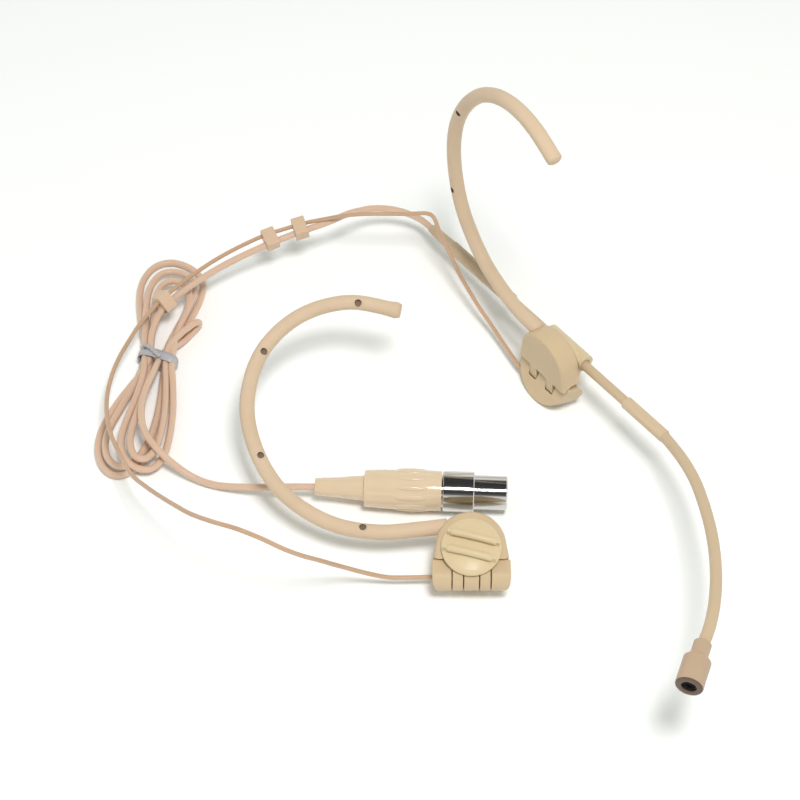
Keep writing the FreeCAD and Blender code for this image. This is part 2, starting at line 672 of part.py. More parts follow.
turned("capsule_grille", [
    (0, long - 1.9), (2.9, long - 1.9), (2.9, long - 1.0), (2.3, long - 1.0),
    (2.3, long - 0.5), (1.6, long - 0.5), (1.6, long - 1.3), (0, long - 1.3)], capsule_frame)


# ---------------------------------------------------------------- cable

lead_shape = tube_along(LEAD, dim("cable_radius"), "cable_lead", 5.0)
tail_shape = tube_along(TAIL, dim("cable_radius"), "cable_tail", 5.0)

HANK_OUTLINE = [
    Vector(-76.6, 63.5, 0), Vector(-74.6, 72.7, 0), Vector(-69.4, 76.7, 0),
    Vector(-63.6, 74.7, 0), Vector(-58.0, 69.9, 0), Vector(-58.4, 60.5, 0),
    Vector(-60.2, 52.9, 0), Vector(-64.4, 43.5, 0), Vector(-64.2, 34.4, 0),
    Vector(-63.4, 21.5, 0), Vector(-63.4, 8.1, 0), Vector(-65.9, 0.1, 0),
    Vector(-71.6, -2.3, 0), Vector(-78.2, -3.3, 0), Vector(-83.4, 3.3, 0),
    Vector(-84.0, 12.3, 0), Vector(-80.2, 23.5, 0), Vector(-75.4, 34.9, 0),
    Vector(-74.2, 44.5, 0), Vector(-76.2, 54.3, 0),
]


def make_hank():
    """Outer shape of the wound cable: a waisted outline with rounded edges."""
    curve = Part.BSplineCurve()
    curve.interpolate(Points=HANK_OUTLINE, PeriodicFlag=True)
    face = Part.Face(Part.Wire([curve.toShape()]))
    face.translate(Vector(0, 0, dim("hank_bottom")))
    solid = face.extrude(Vector(0, 0, dim("hank_height")))
    return solid.makeFillet(1.5, [edge for edge in solid.Edges if edge.BoundBox.ZLength < 0.1])


hank_shape = make_hank()
shape_node("cable_hank", hank_shape)
hank_top = dim("hank_bottom") + dim("hank_height")
under_hank_top = Part.makeBox(40, 40, hank_top, Vector(-90, 27, 0))
lead_shape = lead_shape.cut(under_hank_top)
shape_node("cable_lead", lead_shape)
shape_node("cable_tail", tail_shape.cut(hank_shape))

TIE_CENTRE = Vector(-69.2, 38.5, 0)
TIE_TURN = 22.0
wall = dim("tie_thickness")
tie_length = 12.0
tie_blank = Part.makeBox(tie_length, dim("tie_width"), dim("hank_height") + 2 * wall)
tie_blank = tie_blank.makeFillet(1.6, [edge for edge in tie_blank.Edges
                                       if edge.BoundBox.YLength > dim("tie_width") - 0.1])
tie_blank.translate(Vector(-tie_length / 2, -dim("tie_width") / 2, dim("hank_bottom") - wall))
tie_blank.rotate(Vector(0, 0, 0), Vector(0, 0, 1), -TIE_TURN)
tie_blank.translate(TIE_CENTRE)
shape_node("cable_tie", tie_blank.cut(hank_shape).cut(lead_shape))


# ---------------------------------------------------------------- clips

def make_clip(name, wire_point, cable_point, way):
    """C shaped block snapped over the neck wire and the cable."""
    x_axis = Vector(way).normalize()
    across = (cable_point - wire_point)
    z_axis = x_axis.cross(across * -1).normalize()
    if z_axis.z < 0:
        z_axis = z_axis * -1
    y_axis = z_axis.cross(x_axis)
    length = dim("clip_length")
    depth = dim("clip_depth")
    height = dim("clip_height")
    block = Part.makeBox(length, depth, height, Vector(-length / 2, -depth / 2, -height / 2))
    block = block.makeFillet(0.5, [edge for edge in block.Edges
                                   if edge.BoundBox.XLength > length - 0.1])
    block.Placement = axes_placement((wire_point + cable_point) * 0.5, x_axis, y_axis, z_axis)
    return shape_node(name, block.cut(wire_shape).cut(lead_shape))


for clip_name, wire_point, cable_point, way in CLIPS:
    make_clip(clip_name, wire_point, cable_point, way)


# ---------------------------------------------------------------- plug

plug_frame = along(PLUG_START, PLUG_DIRECTION)
cable_hole = dim("cable_radius")
wide = dim("plug_radius")
shell = dim("shell_radius")
socket_bore = dim("shell_bore_radius")
insert_radius = dim("insert_radius")
turned("plug_boot", [
    (cable_hole, 0), (2.1, 0), (2.4, 0.4), (2.8, 6.0), (3.4, 12.0), (3.6, 13.6), (3.6, 18.0),
    (cable_hole, 18.0)], plug_frame)
turned("plug_cable_clamp", tube_profile(0.6, 3.4, 18.0, 24.0, 0.3), plug_frame)
turned("plug_grip", [
    (3.6, 13.6), (4.9, 13.6), (5.1, 14.0), (5.35, 18.0), (wide, 26.0), (wide, 31.0),
    (5.5, 34.7), (4.6, 34.7), (4.6, 25.0), (3.6, 25.0)], plug_frame)
turned("plug_ring", tube_profile(4.6, wide, 35.0, 43.6, 0.25), plug_frame)
turned("plug_shell", [
    (insert_radius, 28.0), (4.6, 28.0), (4.6, 43.6), (shell, 43.6), (shell, 52.3),
    (shell - 0.3, 52.6), (socket_bore, 52.6), (socket_bore, 47.0), (insert_radius, 47.0)],
    plug_frame)
turned("plug_insert_blank", tube_profile(0, insert_radius, 33.0, 46.8, 0.2), plug_frame)
contacts = []
for number in range(3):
    angle = math.radians(90 + 120 * number)
    centre = plug_frame.multVec(Vector(2.1 * math.cos(angle), 2.1 * math.sin(angle), 0))
    contact = turned("plug_contact_%d" % (number + 1),
                     [(0, 31.0), (0.75, 31.0), (0.75, 46.6), (0.4, 46.6), (0.4, 38.0), (0, 38.0)],
                     along(centre, PLUG_DIRECTION))
    contacts.append(contact)
contact_group = doc.addObject("Part::MultiFuse", "plug_contact_group")
contact_group.Shapes = contacts
insert = doc.addObject("Part::Cut", "plug_insert")
insert.Label = "plug_insert"
insert.Base = doc.plug_insert_blank
insert.Tool = contact_group
doc.recompute()


# ---------------------------------------------------------------- check and write

NODES = [
    "headband_wire", "near_flap", "far_flap", "near_hinge_pin", "far_hinge_pin",
    "cable_clip_rear", "cable_clip_middle", "cable_clip_side",
    "near_housing", "near_retaining_ring", "near_friction_washer", "near_ear_hook",
    "near_ear_hook_core", "near_disc",
    "far_housing", "far_retaining_ring", "far_friction_washer", "far_ear_hook",
    "far_ear_hook_core", "boom_holder", "boom_friction_bush",
    "boom_rod", "boom_strain_relief", "boom_ferrule", "boom_arm",
    "capsule_collar", "capsule_housing", "capsule_element", "capsule_grille",
    "cable_lead", "cable_hank", "cable_tail", "cable_tie",
    "plug_boot", "plug_cable_clamp", "plug_grip", "plug_ring", "plug_shell",
    "plug_insert", "plug_contact_1", "plug_contact_2", "plug_contact_3",
]

for item in doc.Objects:
    if "Invalid" in item.State or "Error" in item.State:
        raise RuntimeError("%s did not build: %s" % (item.Name, item.State))

os.makedirs("parts", exist_ok=True)
for name in NODES:
    shape = doc.getObject(name).Shape
    if shape.isNull() or not shape.isValid() or shape.Volume < 1e-3:
        raise RuntimeError("%s has a bad shape" % name)
    if len(shape.Solids) != 1:
        print("%s has %d solids" % (name, len(shape.Solids)))
    shape.exportStep("parts/%s.step" % name)
print("%d nodes written" % len(NODES))
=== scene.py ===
"""Looks of the double ear hook headset microphone: pods, hooks, boom, cable hank and plug."""

import json
import math

import bmesh
import bpy
from mathutils import Matrix, Vector


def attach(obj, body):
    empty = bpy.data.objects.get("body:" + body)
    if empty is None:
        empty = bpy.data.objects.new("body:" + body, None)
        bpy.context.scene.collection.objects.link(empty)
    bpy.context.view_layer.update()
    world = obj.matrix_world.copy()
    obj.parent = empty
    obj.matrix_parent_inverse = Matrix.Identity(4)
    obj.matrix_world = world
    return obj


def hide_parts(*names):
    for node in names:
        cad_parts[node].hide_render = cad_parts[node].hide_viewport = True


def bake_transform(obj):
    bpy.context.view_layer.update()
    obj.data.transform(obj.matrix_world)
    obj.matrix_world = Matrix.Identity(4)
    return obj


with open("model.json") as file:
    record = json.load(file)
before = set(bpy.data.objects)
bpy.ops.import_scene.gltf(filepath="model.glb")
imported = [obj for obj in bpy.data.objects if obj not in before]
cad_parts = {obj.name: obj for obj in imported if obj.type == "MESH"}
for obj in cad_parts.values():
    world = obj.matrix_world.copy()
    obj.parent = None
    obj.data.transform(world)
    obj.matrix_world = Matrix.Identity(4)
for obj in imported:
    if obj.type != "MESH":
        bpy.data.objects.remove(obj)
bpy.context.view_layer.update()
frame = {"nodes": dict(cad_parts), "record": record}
nodes = frame["nodes"]
scene = bpy.context.scene
MM = 0.001
PER_METRE = 1000
scene.view_settings.view_transform = "Standard"

# ---------------------------------------------------------------- camera

camera_data = bpy.data.cameras.new("camera")
camera_data.lens = 87.7
camera_data.sensor_width = 36.0
camera_data.clip_start = 0.01
camera_data.dof.use_dof = False
camera = bpy.data.objects.new("camera", camera_data)
scene.collection.objects.link(camera)
camera.location = (0.0010, -0.3183, 0.4413)
look = Vector((0.0010, 0.0265, 0.0)) - camera.location
camera.rotation_euler = look.to_track_quat("-Z", "Y").to_euler()
scene.camera = camera


# ---------------------------------------------------------------- places

NEAR_HINGE = Vector((19.8, -38.4, 7.0))
NEAR_LEAN = math.radians(15)
NEAR_AXES = (Vector((1, 0, 0)),
             Vector((0, math.cos(NEAR_LEAN), math.sin(NEAR_LEAN))),
             Vector((0, -math.sin(NEAR_LEAN), math.cos(NEAR_LEAN))))
FAR_HINGE = Vector((44.05, 30.35, 5.51))
FAR_YAW = math.radians(54)
FAR_PITCH = math.radians(4)
FAR_AXES = (Vector((math.cos(FAR_YAW) * math.cos(FAR_PITCH),
                    -math.sin(FAR_YAW) * math.cos(FAR_PITCH), math.sin(FAR_PITCH))),
            Vector((-math.sin(FAR_PITCH) * math.cos(FAR_YAW),
                    math.sin(FAR_PITCH) * math.sin(FAR_YAW), math.cos(FAR_PITCH))),
            Vector((math.sin(FAR_YAW), math.cos(FAR_YAW), 0)))
BOOM_TILT = math.radians(1)
BOOM_WAY = FAR_AXES[0] * math.cos(BOOM_TILT) + FAR_AXES[1] * math.sin(BOOM_TILT)
BOOM_UP = FAR_AXES[1] * math.cos(BOOM_TILT) - FAR_AXES[0] * math.sin(BOOM_TILT)
DISC_HEIGHT = 7.0
BOOM_RISE = 1.1
BOOM_OUT = 5.8


def near(forward, up, out=0.0):
    """Point in the frame of the near pod, millimetres."""
    axes = NEAR_AXES
    return NEAR_HINGE + axes[0] * forward + axes[1] * up + axes[2] * out


def far(forward, up, out=0.0):
    """Point in the frame of the far pod, millimetres."""
    axes = FAR_AXES
    return FAR_HINGE + axes[0] * forward + axes[1] * up + axes[2] * out


def boom(station):
    """Point on the axis of the boom, millimetres."""
    return (far(0, DISC_HEIGHT) + BOOM_WAY * station + BOOM_UP * BOOM_RISE
            + FAR_AXES[2] * BOOM_OUT)


# ---------------------------------------------------------------- materials

def node_of(tree, kind, **values):
    """New shader node with the given input values or settings."""
    made = tree.nodes.new(kind)
    for key, value in values.items():
        if key in made.inputs:
            made.inputs[key].default_value = value
        else:
            setattr(made, key, value)
    return made


def moulded(name, light, dark, rough, spread=0.06, grain=1500.0, bump=0.08, coat=0.0,
            metallic=0.0, soft=0.0):
    """Slightly uneven surface: broad tone changes, a fine grain and a varying gloss."""
    material = bpy.data.materials.new(name)
    material.use_nodes = True
    tree = material.node_tree
    shader = tree.nodes["Principled BSDF"]
    place = node_of(tree, "ShaderNodeTexCoord")
    broad = node_of(tree, "ShaderNodeTexNoise", Scale=85.0, Detail=4.0)
    fine = node_of(tree, "ShaderNodeTexNoise", Scale=grain, Detail=3.0)
    tree.links.new(place.outputs["Object"], broad.inputs["Vector"])
    tree.links.new(place.outputs["Object"], fine.inputs["Vector"])
    ramp = node_of(tree, "ShaderNodeValToRGB")
    ramp.color_ramp.elements[0].position = 0.3
    ramp.color_ramp.elements[1].position = 0.7
    ramp.color_ramp.elements[0].color = (*dark, 1)
    ramp.color_ramp.elements[1].color = (*light, 1)
    tree.links.new(broad.outputs["Fac"], ramp.inputs["Fac"])
    tree.links.new(ramp.outputs["Color"], shader.inputs["Base Color"])
    gloss = node_of(tree, "ShaderNodeMapRange")
    gloss.inputs["To Min"].default_value = max(rough - spread, 0.03)
    gloss.inputs["To Max"].default_value = rough + spread
    tree.links.new(fine.outputs["Fac"], gloss.inputs["Value"])
    tree.links.new(gloss.outputs["Result"], shader.inputs["Roughness"])
    relief = node_of(tree, "ShaderNodeBump", Strength=bump, Distance=0.0001)
    tree.links.new(fine.outputs["Fac"], relief.inputs["Height"])
    tree.links.new(relief.outputs["Normal"], shader.inputs["Normal"])
    shader.inputs["Metallic"].default_value = metallic
    shader.inputs["Coat Weight"].default_value = coat
    shader.inputs["Coat Roughness"].default_value = 0.12
    if soft:
        shader.inputs["Subsurface Weight"].default_value = soft
        shader.inputs["Subsurface Radius"].default_value = (1.0, 0.55, 0.35)
        shader.inputs["Subsurface Scale"].default_value = 0.0012
    return material


MATERIALS = {
    "coated_wire": moulded("coated_wire", (0.56, 0.36, 0.23), (0.50, 0.32, 0.20), 0.30, coat=0.4),
    "beige_plastic": moulded("beige_plastic", (0.60, 0.455, 0.285), (0.57, 0.43, 0.265), 0.42),
    "clip_plastic": moulded("clip_plastic", (0.66, 0.47, 0.33), (0.62, 0.44, 0.30), 0.40),
    "spring_steel": moulded("spring_steel", (0.55, 0.55, 0.54), (0.48, 0.48, 0.47), 0.28,
                            metallic=1.0),
    "washer_plastic": moulded("washer_plastic", (0.50, 0.39, 0.27), (0.46, 0.36, 0.25), 0.5),
    "hook_rubber": moulded("hook_rubber", (0.645, 0.49, 0.34), (0.615, 0.46, 0.315), 0.48, soft=0.1),
    "disc_plastic": moulded("disc_plastic", (0.66, 0.53, 0.33), (0.64, 0.51, 0.31), 0.33,
                            bump=0.03, coat=0.12),
    "boom_coating": moulded("boom_coating", (0.57, 0.43, 0.28), (0.54, 0.41, 0.26), 0.38),
    "ferrule_coating": moulded("ferrule_coating", (0.62, 0.47, 0.31), (0.59, 0.45, 0.29), 0.36),
    "capsule_coating": moulded("capsule_coating", (0.49, 0.35, 0.24), (0.46, 0.33, 0.22), 0.42),
    "capsule_metal": moulded("capsule_metal", (0.42, 0.42, 0.42), (0.36, 0.36, 0.36), 0.3,
                             metallic=1.0),
    "grille_plastic": moulded("grille_plastic", (0.035, 0.028, 0.024), (0.02, 0.016, 0.014),
                              0.22, coat=0.6),
    "capsule_rim": moulded("capsule_rim", (0.13, 0.08, 0.055), (0.11, 0.07, 0.045), 0.38),
    "cable_jacket": moulded("cable_jacket", (0.66, 0.46, 0.335), (0.64, 0.445, 0.32), 0.30,
                            bump=0.004, coat=0.3, soft=0.05),
    "tie_plastic": moulded("tie_plastic", (0.46, 0.45, 0.46), (0.40, 0.39, 0.41), 0.34,
                           bump=0.02, coat=0.3),
    "plug_plastic": moulded("plug_plastic", (0.70, 0.55, 0.38), (0.68, 0.53, 0.36), 0.16,
                            bump=0.02, coat=0.6),
    "clamp_plastic": moulded("clamp_plastic", (0.70, 0.70, 0.68), (0.66, 0.66, 0.64), 0.45),
    "nickel": moulded("nickel", (0.66, 0.65, 0.62), (0.60, 0.59, 0.56), 0.13, spread=0.03,
                      bump=0.01, metallic=1.0),
    "insert_plastic": moulded("insert_plastic", (0.03, 0.03, 0.03), (0.02, 0.02, 0.02), 0.4),
    "contact_metal": moulded("contact_metal", (0.75, 0.58, 0.28), (0.68, 0.52, 0.24), 0.2,
                             metallic=1.0),
    # Dark brown for the walls of the drilled holes: painted shade for the shadow inside each hole.
    "hole_shade": moulded("hole_shade", (0.24, 0.17, 0.12), (0.19, 0.13, 0.09), 0.6),
}

for part in frame["record"]["subparts"]:
    mesh = nodes[part["node"]].data
    mesh.materials.clear()
    mesh.materials.append(MATERIALS[part["material_slot"]])


# ---------------------------------------------------------------- tools

def add_object(name, mesh, slot_name, body):
    """Object from a mesh in metres, smooth shaded, riding on a body."""
    for face in mesh.polygons:
        face.use_smooth = True
    if not mesh.materials:
        mesh.materials.append(MATERIALS[slot_name])
    made = bpy.data.objects.new(name, mesh)
    scene.collection.objects.link(made)
    if body:
        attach(made, body)
    return made


SPLINE_PARTS = 24


def spline(points, step):
    """Smooth line through all of its points, evenly sampled."""
    points = [Vector(point) for point in points]
    held = [points[0] * 2 - points[1]] + points + [points[-1] * 2 - points[-2]]
    dense = []
    for a, b, c, d in zip(held, held[1:], held[2:], held[3:]):
        first = (b - a).length ** 0.5
        second = (c - b).length ** 0.5
        third = (d - c).length ** 0.5
        leave = ((b - a) / first - (c - a) / (first + second) + (c - b) / second) * second
        arrive = ((c - b) / second - (d - b) / (second + third) + (d - c) / third) * second
        for part in range(SPLINE_PARTS):
            t = part / SPLINE_PARTS
            dense.append(b * (2 * t ** 3 - 3 * t ** 2 + 1) + leave * (t ** 3 - 2 * t ** 2 + t)
                         + c * (3 * t ** 2 - 2 * t ** 3) + arrive * (t ** 3 - t ** 2))
    dense.append(points[-1])
    line = [dense[0]]
    carried = 0.0
    for before, after in zip(dense, dense[1:]):
        carried += (after - before).length
        if carried >= step:
            line.append(after)
            carried = 0.0
    if (dense[-1] - line[-1]).length > step * 0.4:
        line.append(dense[-1])
    else:
        line[-1] = dense[-1]
    return line


def nurbs(name, points):
    """Curve object of one smooth open spline with the given control points, millimetres."""
    data = bpy.data.curves.new(name, "CURVE")
    data.dimensions = "3D"
    data.resolution_u = 10
    line = data.splines.new("NURBS")
    line.points.add(len(points) - 1)
    for point, place in zip(line.points, points):
        point.co = (place[0] * MM, place[1] * MM, place[2] * MM, 1.0)
    line.order_u = 3
    line.use_endpoint_u = True
    made = bpy.data.objects.new(name, data)
    scene.collection.objects.link(made)
    return made


def route(points):
    """Points along a smooth cord route, millimetres."""
    guide = nurbs("guide", points)
    graph = bpy.context.evaluated_depsgraph_get()
    read = bpy.data.meshes.new_from_object(guide.evaluated_get(graph))
    line = [vertex.co * PER_METRE for vertex in read.vertices]
    bpy.data.objects.remove(guide)
    bpy.data.meshes.remove(read)
    return line


def tube(name, line, radius_at, sides=28):
    """Closed tube along a line in millimetres; radius_at takes the distances to both ends."""
    count = len(line)
    distances = [0.0]
    for before, after in zip(line, line[1:]):
        distances.append(distances[-1] + (after - before).length)
    total = distances[-1]
    tangents = []
    for index in range(count):
        ahead = line[min(index + 1, count - 1)]
        behind = line[max(index - 1, 0)]
        tangents.append((ahead - behind).normalized())
    side = tangents[0].orthogonal().normalized()
    mesh = bpy.data.meshes.new(name)
    build = bmesh.new()
    rings = []
    for index in range(count):
        if index:
            turn = tangents[index - 1].rotation_difference(tangents[index])
            side = turn @ side
        other = tangents[index].cross(side).normalized()
        radius = radius_at(distances[index], total - distances[index])
        ring = []
        for step in range(sides):
            angle = 2 * math.pi * step / sides
            offset = side * math.cos(angle) + other * math.sin(angle)
            ring.append(build.verts.new((line[index] + offset * radius) * MM))
        rings.append(ring)
    for lower, upper in zip(rings, rings[1:]):
        for step in range(sides):
            following = (step + 1) % sides
            build.faces.new((lower[step], lower[following], upper[following], upper[step]))
    build.faces.new(list(reversed(rings[0])))
    build.faces.new(rings[-1])
    build.normal_update()
    build.to_mesh(mesh)
    build.free()
    return mesh


def plain(radius, edge=0.0):
    """Even radius with both ends rounded over a short length."""
    def radius_at(start, end):
        gap = min(start, end)
        if edge and gap < edge:
            share = 1 - gap / edge
            return radius - edge * (1 - math.sqrt(max(1 - share ** 2, 0.0)))
        return radius
    return radius_at


def softened(name, node, slot_name, body, voxel, rounds):
    """The CAD node with its sharp edges and inner corners worn round."""
    source = nodes[node]
    mesh = source.data.copy()
    build = bmesh.new()
    build.from_mesh(mesh)
    bmesh.ops.remove_doubles(build, verts=build.verts, dist=1e-6)
    build.to_mesh(mesh)
    build.free()
    blank = bpy.data.objects.new(name + "_blank", mesh)
    scene.collection.objects.link(blank)
    remesh = blank.modifiers.new("even", "REMESH")
    remesh.mode = "VOXEL"
    remesh.voxel_size = voxel * MM
    wear = blank.modifiers.new("wear", "SMOOTH")
    wear.factor = 0.5
    wear.iterations = rounds
    graph = bpy.context.evaluated_depsgraph_get()
    finished = bpy.data.meshes.new_from_object(blank.evaluated_get(graph))
    finished.name = name
    finished.materials.clear()
    bpy.data.objects.remove(blank)
    made = add_object(name, finished, slot_name, body)
    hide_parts(node)
    return made


def drill(target, places, direction, radius, depth):
    """Small moulding holes cut into a piece, their walls painted dark as painted shade inside the
    holes.
    """
    cutters = []
    for place in places:
        bpy.ops.mesh.primitive_cylinder_add(vertices=20, radius=radius * MM,
                                            depth=depth * MM, location=place * MM)
        cutter = bpy.context.object
        cutter.rotation_euler = direction.to_track_quat("Z", "Y").to_euler()
        cutter.data.materials.append(MATERIALS["hole_shade"])
        cut = target.modifiers.new("hole", "BOOLEAN")
        cut.operation = "DIFFERENCE"
        cut.solver = "EXACT"
        cut.material_mode = "TRANSFER"
        cut.object = cutter
        cutters.append(cutter)
    bpy.context.view_layer.update()
    graph = bpy.context.evaluated_depsgraph_get()
    finished = bpy.data.meshes.new_from_object(target.evaluated_get(graph))
    target.modifiers.clear()
    target.data = finished
    for cutter in cutters:
        bpy.data.objects.remove(cutter)


# ---------------------------------------------------------------- neck wire

WIRE = [
    (35.2, 36.7, 3.4), (33.5, 39.9, 3.6), (30.2, 46.4, 3.9), (27.4, 51.2, 5.0),
    (24.5, 55.6, 6.4), (21.6, 60.5, 8.2), (18.7, 65.4, 10.2), (16.4, 69.8, 12.4),
    (14.6, 73.0, 14.6), (12.8, 76.0, 17.0), (11.9, 77.8, 18.8), (11.2, 79.1, 19.9),
    (10.1, 80.1, 20.5), (8.3, 80.5, 20.7), (6.0, 80.5, 20.6),
    (2.5, 80.4, 20.5), (-2.3, 80.7, 20.2), (-9.4, 81.3, 19.5),
    (-15.4, 82.1, 18.0), (-21.4, 82.2, 16.4), (-27.4, 81.7, 15.2), (-33.3, 80.2, 14.3),
    (-39.3, 78.2, 13.6), (-46.6, 74.5, 12.7), (-53.8, 69.8, 11.9), (-60.9, 64.0, 11.0),
    (-66.7, 58.3, 10.3), (-70.8, 53.2, 9.8), (-74.5, 47.5, 9.0), (-76.9, 42.0, 8.8),
    (-79.3, 35.8, 8.6), (-81.0, 28.8, 8.6), (-81.6, 20.9, 9.0), (-80.8, 13.2, 9.8),
    (-78.6, 5.1, 10.8), (-75.5, -2.1, 12.2), (-71.2, -10.9, 15.0), (-66.5, -17.5, 18.8),
    (-61.4, -23.8, 22.8), (-57.1, -28.7, 26.0), (-52.7, -33.3, 29.0), (-46.5, -38.0, 32.3),
    (-40.4, -41.2, 34.0), (-34.4, -42.7, 32.0), (-28.7, -43.3, 28.0), (-24.1, -42.0, 22.8),
    (-19.7, -40.0, 17.5), (-16.5, -38.6, 13.6), (-13.5, -37.5, 10.4), (-10.1, -36.8, 7.6),
    (-6.2, -36.5, 5.4), (-2.2, -36.5, 4.1), (2.3, -36.4, 3.8), (7.6, -36.3, 3.8),
    (14.0, -36.2, 3.8),
]
FAR_SEAT = [(38.2, 32.6, 3.0)]
neck_wire = add_object("neck_wire", tube("neck_wire", spline(FAR_SEAT + WIRE, 0.8),
                                         plain(0.62, 0.1), 20), "coated_wire", "headband")
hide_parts("headband_wire")


# ---------------------------------------------------------------- pods, flaps, disc, clips

softened("near_pod_shell", "near_housing", "beige_plastic", "near_pod", 0.15, 10)
softened("far_pod_shell", "far_housing", "beige_plastic", "far_pod", 0.15, 10)
softened("near_pod_flap", "near_flap", "beige_plastic", "headband", 0.15, 26)
softened("far_pod_flap", "far_flap", "beige_plastic", "headband", 0.15, 10)
softened("near_turning_disc", "near_disc", "disc_plastic", "near_knob", 0.13, 8)
softened("boom_sleeve_disc", "boom_holder", "disc_plastic", "boom_tilt", 0.13, 22)
for place in ("rear", "middle", "side"):
    softened("wire_clip_" + place, "cable_clip_" + place, "clip_plastic", "headband", 0.1, 24)

RIDGE_OFFSET = 2.3
RIDGE_HALF_LENGTH = 6.4
RIDGE_RADIUS = 1.0
RIDGE_DEPTH = 0.35
RIDGE_STEPS = 20


def disc_ridges():
    """Two thick rounded finger ridges across the turning disc."""
    turn = math.radians(-14)
    along = NEAR_AXES[0] * math.cos(turn) + NEAR_AXES[1] * math.sin(turn)
    across = NEAR_AXES[1] * math.cos(turn) - NEAR_AXES[0] * math.sin(turn)
    top = max((vertex.co * PER_METRE - NEAR_HINGE).dot(NEAR_AXES[2])
              for vertex in nodes["near_disc"].data.vertices)
    ridges = []
    for offset in (-RIDGE_OFFSET, RIDGE_OFFSET):
        middle = near(0, DISC_HEIGHT, top - RIDGE_DEPTH) + across * offset
        line = []
        for index in range(2 * RIDGE_STEPS + 1):
            share = index / RIDGE_STEPS - 1
            line.append(middle + along * (share * RIDGE_HALF_LENGTH)
                        - NEAR_AXES[2] * (share ** 2 * RIDGE_DEPTH))
        ridges.append(line)
    return ridges


for number, line in enumerate(disc_ridges(), start=1):
    add_object("near_disc_ridge_%d" % number,
               tube("near_disc_ridge_%d" % number, line, plain(RIDGE_RADIUS, 0.8), 28),
               "disc_plastic", "near_knob")


# ---------------------------------------------------------------- ear hooks

HOOK_RADIUS = 2.08
FLARE = 0.5
FLARE_LENGTH = 5.0
TIP_ROUNDING = 0.7


def near_tip(start, end):
    """Near hook: even, a little flared and rounded at its free end."""
    radius = HOOK_RADIUS
    if end < FLARE_LENGTH:
        radius += FLARE * (1 - end / FLARE_LENGTH) ** 2
    if end < TIP_ROUNDING:
        share = 1 - end / TIP_ROUNDING
        radius -= TIP_ROUNDING * (1 - math.sqrt(max(1 - share ** 2, 0.0)))
    return radius


NEAR_HOOK = [near(f, u) for f, u in (
    (-6.2, 14.3), (-13.5, 13.4), (-25.0, 12.6), (-37.9, 15.3), (-50.3, 23.8),
    (-57.7, 35.7), (-60.7, 49.8), (-57.0, 65.4), (-47.0, 76.2), (-33.5, 80.6),
    (-18.6, 77.9))]
FAR_HOOK = [far(f, u, o) for f, u, o in (
    (-5.7, 14.7, 0.1), (-16.6, 14.7, 0.7), (-27.0, 15.2, 2.2), (-35.0, 17.2, 3.4),
    (-42.2, 21.9, 4.4), (-47.8, 28.2, 5.2), (-50.9, 35.8, 5.7), (-52.3, 43.8, 6.0),
    (-51.9, 51.6, 6.0), (-49.9, 59.2, 5.8), (-46.2, 66.5, 5.3), (-41.4, 73.1, 4.7),
    (-34.9, 79.5, 3.8), (-26.5, 84.6, 2.7), (-17.0, 87.2, 1.4), (-8.4, 86.9, 0.2),
    (1.2, 83.9, -1.1))]
near_hook = add_object("near_hook_sleeve",
                       tube("near_hook_sleeve", spline(NEAR_HOOK, 0.7), near_tip, 32),
                       "hook_rubber", "near_pod")
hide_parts("near_ear_hook")
drill(near_hook, [near(f, u, 2.2) for f, u in (
    (-56.4, 64.7), (-56.4, 33.9), (-28.7, 13.4), (-30.5, 79.6))], NEAR_AXES[2], 0.95, 2.3)
far_hook = add_object("far_hook_sleeve",
                      tube("far_hook_sleeve", spline(FAR_HOOK, 0.7), plain(2.06, 0.6), 32),
                      "hook_rubber", "far_pod")
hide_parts("far_ear_hook")
drill(far_hook, [far(f, u, o) for f, u, o in (
    (-46.4, 65.6, 3.3), (-14.2, 85.9, -0.9), (-50.6, 34.0, 3.7))], FAR_AXES[2], 0.9, 1.9)


# ---------------------------------------------------------------- capsule front

CAPSULE_WAY = Vector((-6.0, -16.1, 1.0)).normalized()
CAPSULE_END = Vector((69.6, -87.0, 34.6))


def turned(name, profile, start, way, slot_name, body, sides=64):
    """Piece of revolution from a closed profile of (radius, height), millimetres."""
    turn = way.to_track_quat("Z", "Y").to_matrix().to_4x4()
    place = Matrix.Translation(start) @ turn
    mesh = bpy.data.meshes.new(name)
    build = bmesh.new()
    rings = []
    for step in range(sides):
        angle = 2 * math.pi * step / sides
        rings.append([build.verts.new((place @ Vector((
            radius * math.cos(angle), radius * math.sin(angle), height))) * MM)
            for radius, height in profile])
    count = len(profile)
    for step in range(sides):
        here, there = rings[step], rings[(step + 1) % sides]
        for index in range(count):
            following = (index + 1) % count
            build.faces.new((here[index], there[index], there[following], here[following]))
    build.normal_update()
    bmesh.ops.recalc_face_normals(build, faces=build.faces)
    build.to_mesh(mesh)
    build.free()
    return add_object(name, mesh, slot_name, body)


turned("capsule_end_ring", [(1.85, -0.25), (1.95, 0.05), (2.1, 0.12), (3.1, 0.1), (3.3, 0.0),
                            (3.42, -0.25)],
       CAPSULE_END, CAPSULE_WAY, "capsule_rim", "boom")


# ---------------------------------------------------------------- cable

CABLE_RADIUS = 1.0
